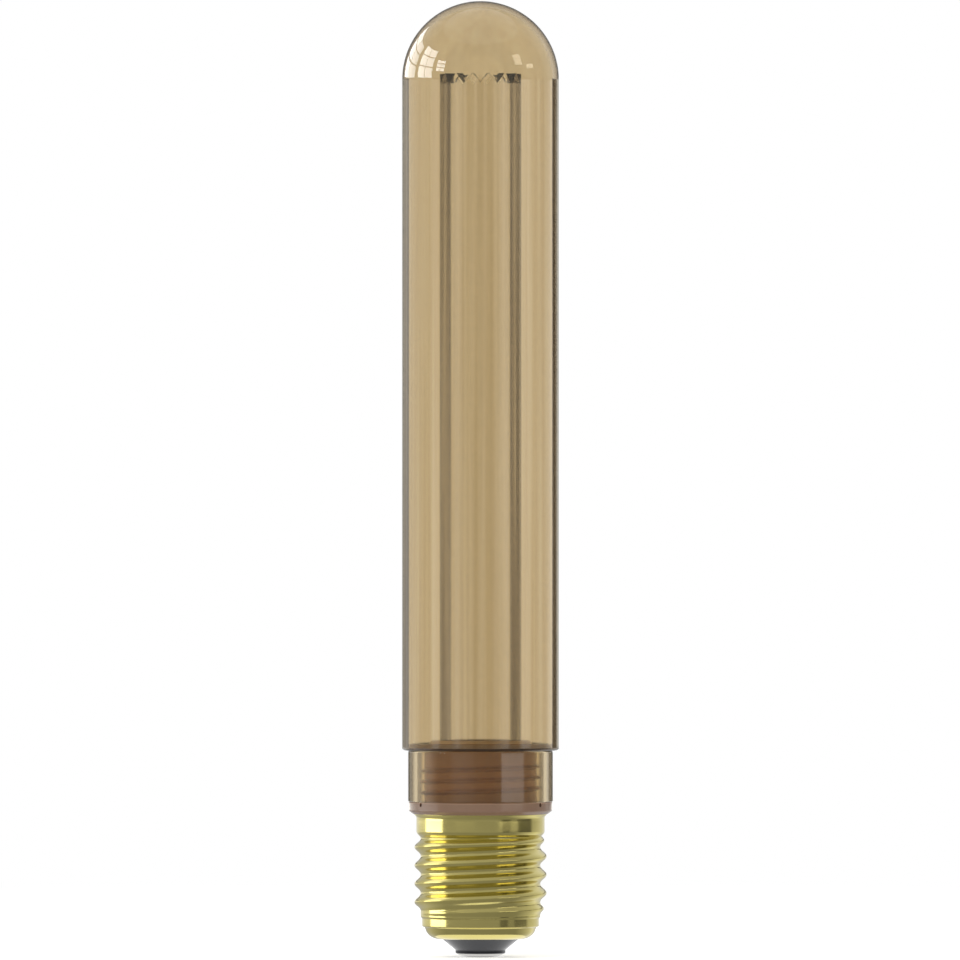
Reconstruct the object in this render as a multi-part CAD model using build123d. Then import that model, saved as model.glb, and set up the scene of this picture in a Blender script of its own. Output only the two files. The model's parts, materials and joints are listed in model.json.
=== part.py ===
from build123d import *
import math
import os

# A tubular LED lamp with a screw cap. A gold glass tube with a domed end stands on a clear amber
# collar. Inside it a clear hollow rod with a crown cut end carries the light up from a ring of chips.
# Everything is in millimetres. Z is the lamp's axis, zero is the underside of the centre contact,
# and the dome points up.

# Fits
loose_fit = 0.10
close_fit = 0.04
glue_gap = 0.03

# Centre contact: a rivet with a dished head
contact_r = 4.72
contact_flat_r = 2.40
contact_shoulder_r = 4.20
contact_shoulder_h = 0.36
contact_h = 0.70
contact_stem_r = 1.15
contact_stem_h = 3.80
contact_stem_wall = 0.50

# Insulator: a black cone with a short nose
nose_margin = 0.23
nose_h = 0.67
cone_h = 2.21
insulator_rise = 2.00

# Screw shell, formed from thin brass sheet. Its radii step in and out from the plain stretch
plain_r = 11.86
sheet = 0.30
step_in = 0.28
foot_in = 0.58
heel_in = 0.70
heel_flat_in = 1.40
heel_flat = 1.30
heel_h = 0.72
foot_h = 2.27
step_rise = 0.20
step_h = 1.65
plain_rise = 0.22
band_out = 0.85
band_h = 3.20
band_slope = 1.00
lip_out = 0.46
lip_h = 0.50
shell_h = 24.70

# Shell thread: a 27 mm lampholder thread, seven turns to the inch
thread_pitch = 25.4 / 7
thread_depth = 1.24
thread_base = 2.90
thread_flat = 0.90
thread_sink = 0.12
thread_start = 0.55
thread_lead = 2.37
thread_fade = 1.90
thread_finish = 1.00

# Driver housing: a moulded cup with a neck that goes into the shell
housing_wall = 1.25
housing_h = 10.60
neck_wall = 1.56
neck_h = 7.50
flange_step = 0.12
flange_h = 2.42
flange_chamfer = 0.85
flange_chamfer_h = 0.64
pip_r = 0.40
pip_depth = 0.50
pip_drop = 0.50
pip_angle = 56.5
shelf_width = 1.40
shelf_h = 1.00
seat_wall = 1.35
rim_wall = 0.81
holder_seat_h = 1.30
rail_reach = 1.80
rail_thickness = 1.10
rail_root = 0.40

# Room between housing and collar for their coupling thread
coupling_room = 1.40

# Collar
collar_wall = 1.75
collar_h = 10.17
collar_edge = 0.20
spigot_wall = 1.05
spigot_h = 1.45

# Glass tube
cement_gap = 0.80
glass_wall = 1.10
rim_edge = 0.35
tube_straight = 132.83
adhesive_drop = 0.20

# Light guide: a clear hollow rod
guide_wall = 2.14
guide_past_tangent = 1.10
crown_teeth = 15
crown_depth = 1.96
crown_tip_angle = 1.20
crown_phase = 12.0
guide_foot_width = 1.17
guide_foot_wall = 0.70
guide_foot_h = 1.90

# Holder ring that clamps the guide's foot
holder_wall = 0.95
holder_h = 2.90
holder_edge = 1.20
holder_edge_middle = 0.35

# Chips and their round board
led_board_h = 1.00
led_board_drop = 0.35
led_count = 8
led_length = 3.50
led_width = 2.30
led_height = 0.70
led_frame = 0.45
led_window_depth = 0.12
led_air = 0.30

# Driver board and what is on it
board_t = 1.00
board_side_gap = 1.00
board_margin = 1.70
board_gap_below = 2.70
board_gap_above = 0.80
lead_r = 0.30
lead_hole_r = 0.38
lead_stub = 0.60
lead_sink = 0.30
wire_r = 0.55

can_r = 3.15
can_h = 11.00
can_foot = 2.60
can_x = -3.00
can_lead_drop = 1.20
can_lead_pitch = 2.50

film_w = 7.20
film_t = 3.40
film_h = 6.00
film_drop = 7.50
film_lead_pitch = 5.00

drum_r = 3.00
drum_h = 5.50
drum_flange = 0.90
drum_waist_r = 1.50
drum_lead_pitch = 3.60
winding_r = 2.70

rectifier_w = 4.70
rectifier_h = 3.90
rectifier_t = 1.50
rectifier_pin_w = 0.65
rectifier_x = -2.60
rectifier_rise = 6.95

chip_w = 4.90
chip_h = 3.90
chip_t = 1.45
chip_pin_w = 0.42
chip_drop = 12.95

package_edge = 0.25
package_foot = 0.90
package_foot_t = 0.25
package_lift = 0.10

fuse_r = 1.30
fuse_h = 5.50
fuse_in = 4.50
fuse_leg = 1.60
fuse_rise = 5.85

pin_r = 0.35
pin_x = 1.50
pin_overlap = 3.00
pin_past = 0.50

live_lead_rise = 0.50
live_lead_x = 1.30
live_lead_drop = 0.80
live_lead_reach = 2.60
neutral_lead_in = 2.20
neutral_lead_drop = 0.40
neutral_lead_reach = 3.60
neutral_lead_rise = 0.60
neutral_lead_gap = 0.60

# Heights and widths that follow from the sizes above
nose_z = contact_h + nose_h
shell_z = nose_z + cone_h
insulator_z = shell_z + insulator_rise
foot_z = shell_z + foot_h
step_z = foot_z + step_rise
plain_z = step_z + step_h + plain_rise
lip_z = shell_z + shell_h
band_top_z = lip_z - lip_h
band_z = band_top_z - band_h
slope_z = band_z - band_slope
thread_z = plain_z + thread_start
thread_top_z = band_z - thread_finish

flange_z = lip_z
flange_top_z = flange_z + flange_h
housing_top_z = flange_top_z + housing_h
neck_z = flange_z - neck_h
holder_seat_z = housing_top_z - holder_seat_h
collar_top_z = flange_top_z + collar_h
spigot_top_z = collar_top_z + spigot_h

led_board_z = holder_seat_z - led_board_h - led_board_drop
shelf_z = led_board_z - shelf_h
led_board_top_z = led_board_z + led_board_h
led_top_z = led_board_top_z + led_height
guide_z = led_top_z + led_air
guide_foot_top_z = led_board_top_z + guide_foot_h
holder_z = holder_seat_z + glue_gap
holder_top_z = holder_z + holder_h
dome_z = collar_top_z + tube_straight
guide_top_z = dome_z + guide_past_tangent

insulator_bore_r = contact_stem_r + close_fit
nose_r = contact_r + nose_margin
step_r = plain_r - step_in
foot_r = step_r - foot_in
heel_r = foot_r - heel_in
heel_flat_r = heel_r - heel_flat_in
cone_r = heel_flat_r - heel_flat
band_r = plain_r + band_out
lip_r = band_r + lip_out
thread_crest_r = plain_r + thread_depth

neck_r = plain_r - sheet - loose_fit
neck_wide_r = band_r - sheet - loose_fit
cavity_r = neck_r - neck_wall
housing_r = cavity_r + housing_wall
seat_r = housing_r - seat_wall
shelf_r = seat_r - shelf_width
recess_r = housing_r - rim_wall
collar_bore_r = housing_r + coupling_room
collar_r = collar_bore_r + collar_wall
flange_r = collar_r - flange_step
spigot_r = collar_bore_r + spigot_wall
glass_bore_r = spigot_r + cement_gap
tube_r = glass_bore_r + glass_wall

holder_r = recess_r - close_fit
guide_foot_r = holder_r - holder_wall - loose_fit
guide_r = guide_foot_r - guide_foot_width
guide_bore_r = guide_r - guide_wall
holder_bore_r = guide_r + loose_fit
led_ring_r = (guide_r + guide_bore_r) / 2

# The driver board's parts, as heights on the board and distances from its middle plane
board_half_w = cavity_r - board_side_gap
board_z = insulator_z + board_gap_below
board_top_z = shelf_z - board_gap_above
board_face = board_t / 2
can_y = board_face + can_r + loose_fit
can_z = board_z + can_foot
can_lead_z = can_z - can_lead_drop
film_x = board_half_w - board_margin - film_w / 2
film_z = board_top_z - film_drop
drum_x = drum_r + board_margin - board_half_w
chip_x = board_half_w - board_margin - chip_w / 2 - package_foot
chip_z = board_top_z - chip_drop
rectifier_z = board_z + rectifier_rise
fuse_y = -board_face - fuse_r - loose_fit
fuse_x = board_half_w - fuse_in
fuse_z = board_z + fuse_rise
fuse_lead_rise = fuse_h / 2 + fuse_leg
pin_y = board_face + pin_r


def turned(*corners):
    """A solid turned about Z from a closed outline of (radius, height) corners."""
    points = [(radius, 0, z) for radius, z in corners]
    return revolve(make_face(Polyline(*points, close=True)), Axis.Z)


def inset(line, depth):
    """The same open line moved to its left by depth."""
    normals = []
    for a, b in zip(line, line[1:]):
        run = math.dist(a, b)
        normals.append(((a[1] - b[1]) / run, (b[0] - a[0]) / run))
    moved = []
    for corner, first, last in zip(line, normals[:1] + normals, normals + normals[-1:]):
        share = depth / (1 + first[0] * last[0] + first[1] * last[1])
        x = corner[0] + share * (first[0] + last[0])
        z = corner[1] + share * (first[1] + last[1])
        moved.append((x, z))
    return moved


def ridge(root_r, crest_r, low, high, left_z):
    """A right-handed thread ridge swept along a helix. Its crest passes the left side at left_z."""
    section = Polyline(
        (root_r - thread_sink, 0, -thread_base / 2),
        (root_r - thread_sink, 0, thread_base / 2),
        (crest_r, 0, thread_flat / 2),
        (crest_r, 0, -thread_flat / 2),
        close=True,
    )
    helix = Edge.make_helix(thread_pitch, high - low, root_r)
    swept = Solid.sweep(make_face(section).face(), helix, is_frenet=True)
    return Pos(0, 0, low) * Rot(0, 0, 180 - 360 * (left_z - low) / thread_pitch) * swept


def rod(radius, start, end):
    """A round rod between two points."""
    return wire(radius, [start, end])


def wire(radius, points):
    """A round wire along straight runs with sharp bends."""
    path = Polyline(*points)
    section = Plane(origin=points[0], z_dir=path % 0) * Circle(radius)
    return sweep(section, path=path, transition=Transition.RIGHT)


def block(low, high):
    """A box between two corners."""
    size = [high[i] - low[i] for i in range(3)]
    centre = [(high[i] + low[i]) / 2 for i in range(3)]
    return Pos(*centre) * Box(*size)


def shell_line():
    """Half the shell's outside, from the hole in its bottom to the lip, without its thread."""
    return [
        (cone_r, shell_z),
        (heel_flat_r, shell_z),
        (heel_r, shell_z + heel_h),
        (foot_r, foot_z),
        (step_r, step_z),
        (step_r, step_z + step_h),
        (plain_r, plain_z),
        (plain_r, slope_z),
        (band_r, band_z),
        (band_r, band_top_z),
        (lip_r, lip_z),
    ]


def screw_shell():
    inside = inset(shell_line(), sheet)
    inside[-1] = (inside[-1][0], lip_z)
    body = turned((0, shell_z), *shell_line(), (0, lip_z))
    thread = ridge(plain_r, thread_crest_r, thread_z - thread_pitch / 2, thread_top_z, thread_z + thread_lead)
    past_crest_r = thread_crest_r + loose_fit
    run_out = turned(
        (step_r - sheet, thread_z),
        (plain_r, thread_z),
        (past_crest_r, thread_z + thread_fade),
        (past_crest_r, thread_top_z - thread_fade),
        (band_r, band_z),
        (step_r - sheet, band_z),
    )
    body += thread & run_out
    return body - turned((0, shell_z), (cone_r, shell_z), *inside, (0, lip_z))


def insulator():
    """The black cone, with a flange inside the shell that follows the shell's heel."""
    _, flat_end, heel, foot = inset(shell_line(), sheet + close_fit)[:4]
    share = (insulator_z - heel[1]) / (foot[1] - heel[1])
    hole_r = cone_r - close_fit
    return turned(
        (insulator_bore_r, contact_h),
        (nose_r, contact_h),
        (nose_r, nose_z),
        (hole_r, shell_z),
        (hole_r, flat_end[1]),
        flat_end,
        heel,
        (heel[0] + share * (foot[0] - heel[0]), insulator_z),
        (insulator_bore_r, insulator_z),
    )


def centre_contact():
    hollow_r = contact_stem_r - contact_stem_wall
    stem_z = contact_h + contact_stem_h
    return turned(
        (0, 0),
        (contact_flat_r, 0),
        (contact_shoulder_r, contact_shoulder_h),
        (contact_r, contact_h),
        (contact_stem_r, contact_h),
        (contact_stem_r, stem_z),
        (hollow_r, stem_z),
        (hollow_r, contact_h),
        (0, contact_h),
    )


def board_rail():
    """The rail on the housing's right wall that holds one edge of the driver board."""
    inner_x = cavity_r - rail_reach
    half = board_face + rail_thickness
    rail = block((inner_x, -half, neck_z), (cavity_r + rail_root, half, shelf_z))
    slot = board_face + close_fit
    return rail - block((inner_x, -slot, neck_z), (board_half_w + close_fit, slot, shelf_z))


def flange_pip(side):
    """A small blind hole in the flange's rim, as far as side says from the front."""
    hole = rod(pip_r, (flange_r - pip_depth, 0, 0), (flange_r + pip_depth, 0, 0))
    return Pos(0, 0, flange_top_z - pip_drop) * Rot(0, 0, -90 + side * pip_angle) * hole


def driver_housing():
    body = turned(
        (cavity_r, neck_z),
        (neck_r, neck_z),
        (neck_r, slope_z),
        (neck_wide_r, band_z + loose_fit),
        (neck_wide_r, flange_z),
        (flange_r - flange_chamfer, flange_z),
        (flange_r, flange_z + flange_chamfer_h),
        (flange_r, flange_top_z),
        (housing_r, flange_top_z),
        (housing_r, housing_top_z),
        (recess_r, housing_top_z),
        (recess_r, holder_seat_z),
        (seat_r, holder_seat_z),
        (seat_r, led_board_z),
        (shelf_r, led_board_z),
        (shelf_r, shelf_z),
        (cavity_r, shelf_z),
    )
    rail = board_rail()
    body += rail
    body += Rot(0, 0, 180) * rail
    return body - flange_pip(-1) - flange_pip(1)


def collar():
    return turned(
        (collar_bore_r, flange_top_z),
        (collar_r, flange_top_z),
        (collar_r, collar_top_z - collar_edge),
        (collar_r - collar_edge, collar_top_z),
        (spigot_r, collar_top_z),
        (spigot_r, spigot_top_z),
        (collar_bore_r, spigot_top_z),
    )


def glass_envelope():
    """The tube with its ground rim, closed by half a ball inside and out."""
    tube = turned(
        (glass_bore_r + rim_edge, collar_top_z),
        (tube_r - rim_edge, collar_top_z),
        (tube_r, collar_top_z + rim_edge),
        (tube_r, dome_z),
        (glass_bore_r, dome_z),
        (glass_bore_r, collar_top_z + rim_edge),
    )
    ball = Sphere(tube_r) - Sphere(glass_bore_r)
    return tube + Pos(0, 0, dome_z) * split(ball, bisect_by=Plane.XY)


def glass_adhesive():
    """The ring of cement between the collar's spigot and the glass."""
    low = collar_top_z + glue_gap
    high = spigot_top_z - adhesive_drop
    return turned(
        (spigot_r + glue_gap, low),
        (glass_bore_r - glue_gap, low),
        (glass_bore_r - glue_gap, high),
        (spigot_r + glue_gap, high),
    )


def crown_cut(angle):
    """One V cut across the rod's wall. Its faces meet at a point on the axis."""
    reach = guide_r * 1.5
    depth = crown_depth * 1.5
    half_angle = math.radians((360 / crown_teeth - crown_tip_angle) / 2)
    half = reach * math.tan(half_angle)
    apex = Vertex(0, 0, guide_top_z)
    mouth = Polyline(
        (reach, 0, guide_top_z - depth),
        (reach, half, guide_top_z),
        (reach, half, guide_top_z + depth),
        (reach, -half, guide_top_z + depth),
        (reach, -half, guide_top_z),
        close=True,
    )
    return Rot(0, 0, angle) * loft([apex, make_face(mouth)])


def light_guide():
    skirt_r = guide_foot_r - guide_foot_wall
    body = turned(
        (guide_bore_r, guide_z),
        (skirt_r, guide_z),
        (skirt_r, led_board_top_z),
        (guide_foot_r, led_board_top_z),
        (guide_foot_r, guide_foot_top_z),
        (guide_r, guide_foot_top_z),
        (guide_r, guide_top_z),
        (guide_bore_r, guide_top_z),
    )
    for i in range(crown_teeth):
        body -= crown_cut(-90 + crown_phase + 180 / crown_teeth + i * 360 / crown_teeth)
    return body


def guide_holder():
    """The ring that clamps the guide's foot to the chips' board."""
    foot_r = guide_foot_r + loose_fit
    foot_top_z = guide_foot_top_z + close_fit
    return turned(
        (foot_r, holder_z),
        (holder_r, holder_z),
        (holder_r, holder_top_z - holder_edge),
        (holder_r - holder_edge_middle, holder_top_z - holder_edge_middle),
        (holder_r - holder_edge, holder_top_z),
        (holder_bore_r, holder_top_z),
        (holder_bore_r, foot_top_z),
        (foot_r, foot_top_z),
    )


def led_board():
    board_r = seat_r - close_fit
    board = turned(
        (0, led_board_z),
        (board_r, led_board_z),
        (board_r, led_board_top_z),
        (0, led_board_top_z),
    )
    for x in (-pin_x, pin_x):
        board -= rod(pin_r + close_fit, (x, pin_y, led_board_z), (x, pin_y, led_board_top_z))
    return board


def led_chip(index):
    """One chip in its frame, lying across the rod's wall on the board."""
    half_w = led_width / 2
    half_l = led_length / 2
    chip = block(
        (led_ring_r - half_w, -half_l, led_board_top_z),
        (led_ring_r + half_w, half_l, led_top_z),
    )
    chip -= block(
        (led_ring_r - half_w + led_frame, -half_l + led_frame, led_top_z - led_window_depth),
        (led_ring_r + half_w - led_frame, half_l - led_frame, led_top_z),
    )
    return Rot(0, 0, (index + 0.5) * 360 / led_count) * chip


def lead_places():
    """Where leads pass through the driver board, as (x, z) for each part."""
    return {
        "can": [(can_x + s * can_lead_pitch / 2, can_lead_z) for s in (-1, 1)],
        "film": [(film_x + s * film_lead_pitch / 2, film_z) for s in (-1, 1)],
        "drum": [(drum_x, film_z + s * drum_lead_pitch / 2) for s in (-1, 1)],
        "fuse": [(fuse_x, fuse_z + s * fuse_lead_rise) for s in (-1, 1)],
    }


def driver_board():
    board = block((-board_half_w, -board_face, board_z), (board_half_w, board_face, board_top_z))
    for places in lead_places().values():
        for x, z in places:
            board -= rod(lead_hole_r, (x, -board_face, z), (x, board_face, z))
    return board


def electrolytic_capacitor():
    """A can that stands along the back of the board, its two leads bent through it."""
    part = Pos(can_x, can_y, can_z) * turned((0, 0), (can_r, 0), (can_r, can_h), (0, can_h))
    for x, z in lead_places()["can"]:
        start = (x, can_y, can_z + lead_sink)
        part += wire(lead_r, [start, (x, can_y, z), (x, -board_face - lead_stub, z)])
    return part


def film_capacitor():
    near = -board_face - loose_fit
    half_w = film_w / 2
    half_h = film_h / 2
    part = block(
        (film_x - half_w, near - film_t, film_z - half_h),
        (film_x + half_w, near, film_z + half_h),
    )
    for x, z in lead_places()["film"]:
        part += rod(lead_r, (x, near - lead_sink, z), (x, board_face + lead_stub, z))
    return part


def drum_place():
    """The drum's frame: on the front of the driver board, its axis square to the board."""
    return Pos(drum_x, -board_face - loose_fit, film_z) * Rot(90, 0, 0)


def inductor_core():
    core = turned(
        (0, 0),
        (drum_r, 0),
        (drum_r, drum_flange),
        (drum_waist_r, drum_flange),
        (drum_waist_r, drum_h - drum_flange),
        (drum_r, drum_h - drum_flange),
        (drum_r, drum_h),
        (0, drum_h),
    )
    part = drum_place() * core
    near = -board_face - loose_fit - lead_sink
    for x, z in lead_places()["drum"]:
        part += rod(lead_r, (x, near, z), (x, board_face + lead_stub, z))
    return part


def inductor_winding():
    inner_r = drum_waist_r + close_fit
    low = drum_flange + close_fit
    high = drum_h - drum_flange - close_fit
    winding = turned((inner_r, low), (winding_r, low), (winding_r, high), (inner_r, high))
    return drum_place() * winding


def flat_package(width, height, thick, pins, pin_w):
    """A moulded package on the XZ plane at y 0, body towards -Y, feet left and right."""
    body = block((-width / 2, -thick, -height / 2), (width / 2, -package_lift, height / 2))
    body = chamfer(body.faces().sort_by(Axis.Y)[0].edges(), package_edge)
    for i in range(pins):
        z = ((i + 0.5) / pins - 0.5) * height
        foot = block(
            (width / 2 - package_edge, -package_foot_t, z - pin_w / 2),
            (width / 2 + package_foot, 0, z + pin_w / 2),
        )
        body += foot
        body += mirror(foot, Plane.YZ)
    return body


def bridge_rectifier():
    package = flat_package(rectifier_w, rectifier_h, rectifier_t, 2, rectifier_pin_w)
    return Pos(rectifier_x, -board_face, rectifier_z) * package


def driver_chip():
    package = flat_package(chip_w, chip_h, chip_t, 4, chip_pin_w)
    return Pos(chip_x, board_face, chip_z) * Rot(0, 0, 180) * package


def fusible_resistor():
    half = fuse_h / 2
    body = turned((0, -half), (fuse_r, -half), (fuse_r, half), (0, half))
    part = Pos(fuse_x, fuse_y, fuse_z) * body
    for x, z in lead_places()["fuse"]:
        side = math.copysign(1, z - fuse_z)
        start = (x, fuse_y, fuse_z + side * (half - lead_sink))
        part += wire(lead_r, [start, (x, fuse_y, z), (x, board_face + lead_stub, z)])
    return part


def led_pin(side):
    """A header pin on the driver board that comes up through the chips' board."""
    x = side * pin_x
    return rod(pin_r, (x, pin_y, board_top_z - pin_overlap), (x, pin_y, led_board_top_z + pin_past))


def live_lead():
    """From the contact's stem to the front of the driver board."""
    y = -board_face - wire_r
    points = [
        (0, 0, contact_h + glue_gap),
        (0, 0, insulator_z + live_lead_rise),
        (live_lead_x, y, board_z - live_lead_drop),
        (live_lead_x, y, board_z + live_lead_reach),
    ]
    return wire(wire_r, points)


def neutral_lead():
    """From the back of the driver board to the inside of the shell."""
    x = neutral_lead_in - board_half_w
    y = board_face + wire_r
    points = [
        (x, y, board_z + neutral_lead_reach),
        (x, y, board_z - neutral_lead_drop),
        (neutral_lead_gap + sheet - step_r, y, insulator_z + wire_r + neutral_lead_rise),
    ]
    return wire(wire_r, points)


def build():
    made = {
        "centre_contact": centre_contact(),
        "insulator": insulator(),
        "screw_shell": screw_shell(),
        "driver_housing": driver_housing(),
        "collar": collar(),
        "glass_adhesive": glass_adhesive(),
        "glass_envelope": glass_envelope(),
        "light_guide": light_guide(),
        "guide_holder": guide_holder(),
        "led_board": led_board(),
        "driver_board": driver_board(),
        "electrolytic_capacitor": electrolytic_capacitor(),
        "film_capacitor": film_capacitor(),
        "inductor_core": inductor_core(),
        "inductor_winding": inductor_winding(),
        "bridge_rectifier": bridge_rectifier(),
        "driver_chip": driver_chip(),
        "fusible_resistor": fusible_resistor(),
        "led_pin_positive": led_pin(1),
        "led_pin_negative": led_pin(-1),
        "live_lead": live_lead(),
        "neutral_lead": neutral_lead(),
    }
    for i in range(led_count):
        made[f"led_chip_{i + 1}"] = led_chip(i)
    return made


os.makedirs("parts", exist_ok=True)
for name, shape in build().items():
    export_step(shape, f"parts/{name}.step")
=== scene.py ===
import json
import math

import bmesh
import bpy
from mathutils import Matrix, Vector


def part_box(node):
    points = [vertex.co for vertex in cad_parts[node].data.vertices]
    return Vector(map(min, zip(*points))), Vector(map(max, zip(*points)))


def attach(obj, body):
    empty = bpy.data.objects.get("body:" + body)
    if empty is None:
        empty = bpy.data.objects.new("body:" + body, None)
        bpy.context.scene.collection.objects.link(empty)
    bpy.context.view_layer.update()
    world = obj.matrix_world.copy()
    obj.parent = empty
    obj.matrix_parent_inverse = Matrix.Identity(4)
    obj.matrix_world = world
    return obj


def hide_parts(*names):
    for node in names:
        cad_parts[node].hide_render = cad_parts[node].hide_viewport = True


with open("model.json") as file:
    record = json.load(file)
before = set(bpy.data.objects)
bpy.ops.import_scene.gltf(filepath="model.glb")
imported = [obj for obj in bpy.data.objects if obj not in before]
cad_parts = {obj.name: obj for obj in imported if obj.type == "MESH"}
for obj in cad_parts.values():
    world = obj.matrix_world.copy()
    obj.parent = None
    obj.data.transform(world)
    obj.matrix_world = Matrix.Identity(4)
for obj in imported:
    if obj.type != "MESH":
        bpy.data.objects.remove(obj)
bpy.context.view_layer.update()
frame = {"nodes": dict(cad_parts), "record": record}
nodes = frame["nodes"]

# A tubular lamp on a screw cap. It stands on its contact, its axis on Z and its front towards -Y.
# Sizes of the lamp are in millimetres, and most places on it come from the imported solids.
MM = 0.001


def low_z(node):
    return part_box(node)[0].z / MM


def high_z(node):
    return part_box(node)[1].z / MM


def outer_r(node):
    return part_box(node)[1].x / MM


# Contact: a dished head on a hollow stem
contact_flat_r = 2.40
contact_shoulder_r = 4.20
contact_shoulder_z = 0.34
contact_edge_z = 0.62
contact_back_z = 0.70
stem_r = 1.15
stem_bore_r = 0.65

# Insulator: a nose, a cone, and a wide part that lies on the shell's foot
insulator_bore_r = 1.19
nose_r = 4.95
nose_top_z = 1.37
cone_r = 7.56
insulator_gap = 0.04
insulator_foot_r = 8.77
insulator_side_r = 9.99
insulator_side_z = 4.56
insulator_top_r = 10.37

# Shell: sheet brass with a rolled thread. The thread's start and end, shell_stops and shell_rows
# are heights above its foot. A stop is (height, outside radius), and rows of the mesh are
# (start, end, step).
sheet = 0.30
pitch = 25.4 / 7
plain_r = 11.86
band_out = 0.85
thread_depth = 1.24
thread_left_z = 10.84
thread_power = 1.15
thread_start = 4.75
thread_rise = 1.90
thread_end = 18.80
thread_fall = 2.10
shell_hole_r = 7.60
shell_bend_r = 7.90
shell_stops = [
    (0.0, 8.60),
    (0.10, 9.12),
    (0.32, 9.62),
    (0.72, 10.20),
    (1.30, 10.68),
    (2.20, 11.00),
    (2.30, 11.08),
    (2.50, 11.54),
    (2.60, 11.58),
    (4.05, 11.58),
    (4.14, 11.62),
    (4.30, 11.82),
    (4.42, plain_r),
    (19.80, plain_r),
    (20.15, plain_r + 0.06),
    (20.85, plain_r + 0.72),
    (21.25, plain_r + band_out),
    (23.95, plain_r + band_out),
    (24.15, 12.76),
    (24.45, 13.00),
    (24.62, 13.17),
    (24.70, 13.17),
]
shell_rows = [
    (0, 0.72, 0.12),
    (0.72, 2.2, 0.3),
    (2.2, 2.6, 0.08),
    (2.63, 4.02, 0.5),
    (4.05, 4.42, 0.07),
    (4.45, 21.4, 0.16),
    (21.4, 23.95, 0.6),
    (24.0, 24.70, 0.07),
]

# Housing: a neck in the shell, a flange, and a shelf and recess for the boards
cavity_r = 9.90
housing_r = 11.15
neck_r = 11.46
neck_wide_r = 12.31
neck_slope = (23.58, 24.68)
flange_inset = 0.85
flange_slope = 0.64
shelf_r = 8.40
seat_r = 9.80
recess_r = 10.34
shelf_z = 37.65
seat_z = 38.65
recess_z = 40.00
rail_reach = 1.80
rail_half = 1.60
rail_slot_half = 0.54
rail_slot_r = 9.74
rail_root = 0.30
pip_r = 0.40
pip_depth = 0.50
pip_drop = 0.50
pip_angle = 56.5
# Height over which the painted shade on the flange fades into the housing's own brown
flange_shade_fade = 0.30

# The fine thread that the collar turns on, which only the scene has. As on the shell, left_z is
# a crest's height above the table at the lamp's left side. Its mesh rows stop short of the top.
coupling_pitch = 2.15
coupling_depth = 1.15
coupling_half_width = 0.50
coupling_left_z = 32.45
coupling_ends = (31.4, 38.4)
coupling_fade = 0.7
coupling_row = 0.10
coupling_stop = 0.40

# Collar, glass, light guide and the ring that holds it. The bands are the heights of short rows of
# faces at the glass's rim and under its dome, and the shaded rim is as high as the band of painted
# shade at the glass's foot, where it stands on the collar.
collar_bore_r = 12.55
spigot_r = 13.60
glass_wall = 1.10
rim_band = 2.0
dome_band = 0.5
shaded_rim = 0.54
guide_r = 8.08
guide_wall = 2.14
guide_low = 40.65
guide_foot_h = 1.90
skirt_wall = 0.70
crown_teeth = 15
crown_depth = 1.96
crown_drop = 0.05
crown_tip_angle = 1.20
crown_phase = 12.0
holder_bore_r = 8.18
holder_foot_r = 9.35
holder_foot_z = 41.59
holder_edge = 1.15

# Points round a full turn of a turned piece, and the gap from an arc to its support point
around = 240
support_gap = 0.03

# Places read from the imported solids
tube_r = outer_r("glass_envelope")
tube_low = low_z("glass_envelope")
tube_top = high_z("glass_envelope")
dome_z = tube_top - tube_r
shell_low = low_z("screw_shell")
shell_top = high_z("screw_shell")
collar_low = low_z("collar")
guide_top = high_z("light_guide")
valley_z = guide_top - crown_depth - crown_drop

# Colours of the lights
white = (1.0, 1.0, 1.0)
cream = (1.0, 0.98, 0.92)
warm = (1.0, 0.88, 0.70)

# Cards that only reflections show, in metres. A line is a height where two of them meet, a little
# below the place on the lamp that reflects it, because the camera looks down on that place.
near_r = 0.14
middle_r = 1.0
far_r = 2.4
card_low_z = 0.0005
cap_line = 0.0252
flange_line = 0.0274
collar_line = 0.0386
shade_inner = (0.0165, 0.0412)
shade_outer_z = 0.0387
tube_line = 0.205
room_low = 0.22
room_top = 3.2
table_z = 0.0003
table_inner_r = 0.0118

# Window panes, in metres, but for the gap between two of them, in degrees
pane_r = 2.2
pane_bar = 0.045
pane_gap = 1.0

# Floor, lights and camera, in metres. The photograph is photo_width pixels wide, and the sizes of
# a pixel and of the camera's sensor are in millimetres.
floor_half = 60.0
floor_glow = 0.45
floor_fade = (0.12, 0.50)
lamp_middle = (0, 0, 0.08)
photo_pixel = 0.198
photo_width = 960
camera_distance = 2.77
camera_height = 0.0944
camera_aside = -0.0001
camera_sensor = 36
camera_reach = 200


# Mesh helpers
def rounded(corners, steps=6):
    """A closed outline of (radius, height) points from corners of (radius, height, rounding).
    A point just outside each arc keeps the shading of the flat beside it true."""
    points = []
    for i, corner in enumerate(corners):
        here = Vector(corner[:2])
        if len(corner) < 3:
            points.append(tuple(here))
            continue
        back = (Vector(corners[i - 1][:2]) - here).normalized()
        ahead = (Vector(corners[(i + 1) % len(corners)][:2]) - here).normalized()
        half = back.angle(ahead) / 2
        reach = corner[2] / math.tan(half)
        centre = here + (back + ahead).normalized() * corner[2] / math.sin(half)
        start = here + back * reach - centre
        turn = start.angle_signed(here + ahead * reach - centre)
        points.append(tuple(here + back * (reach + support_gap)))
        for k in range(steps + 1):
            spoke = start.copy()
            spoke.rotate(Matrix.Rotation(-turn * k / steps, 2))
            points.append(tuple(centre + spoke))
        points.append(tuple(here + ahead * (reach + support_gap)))
    return points


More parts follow.
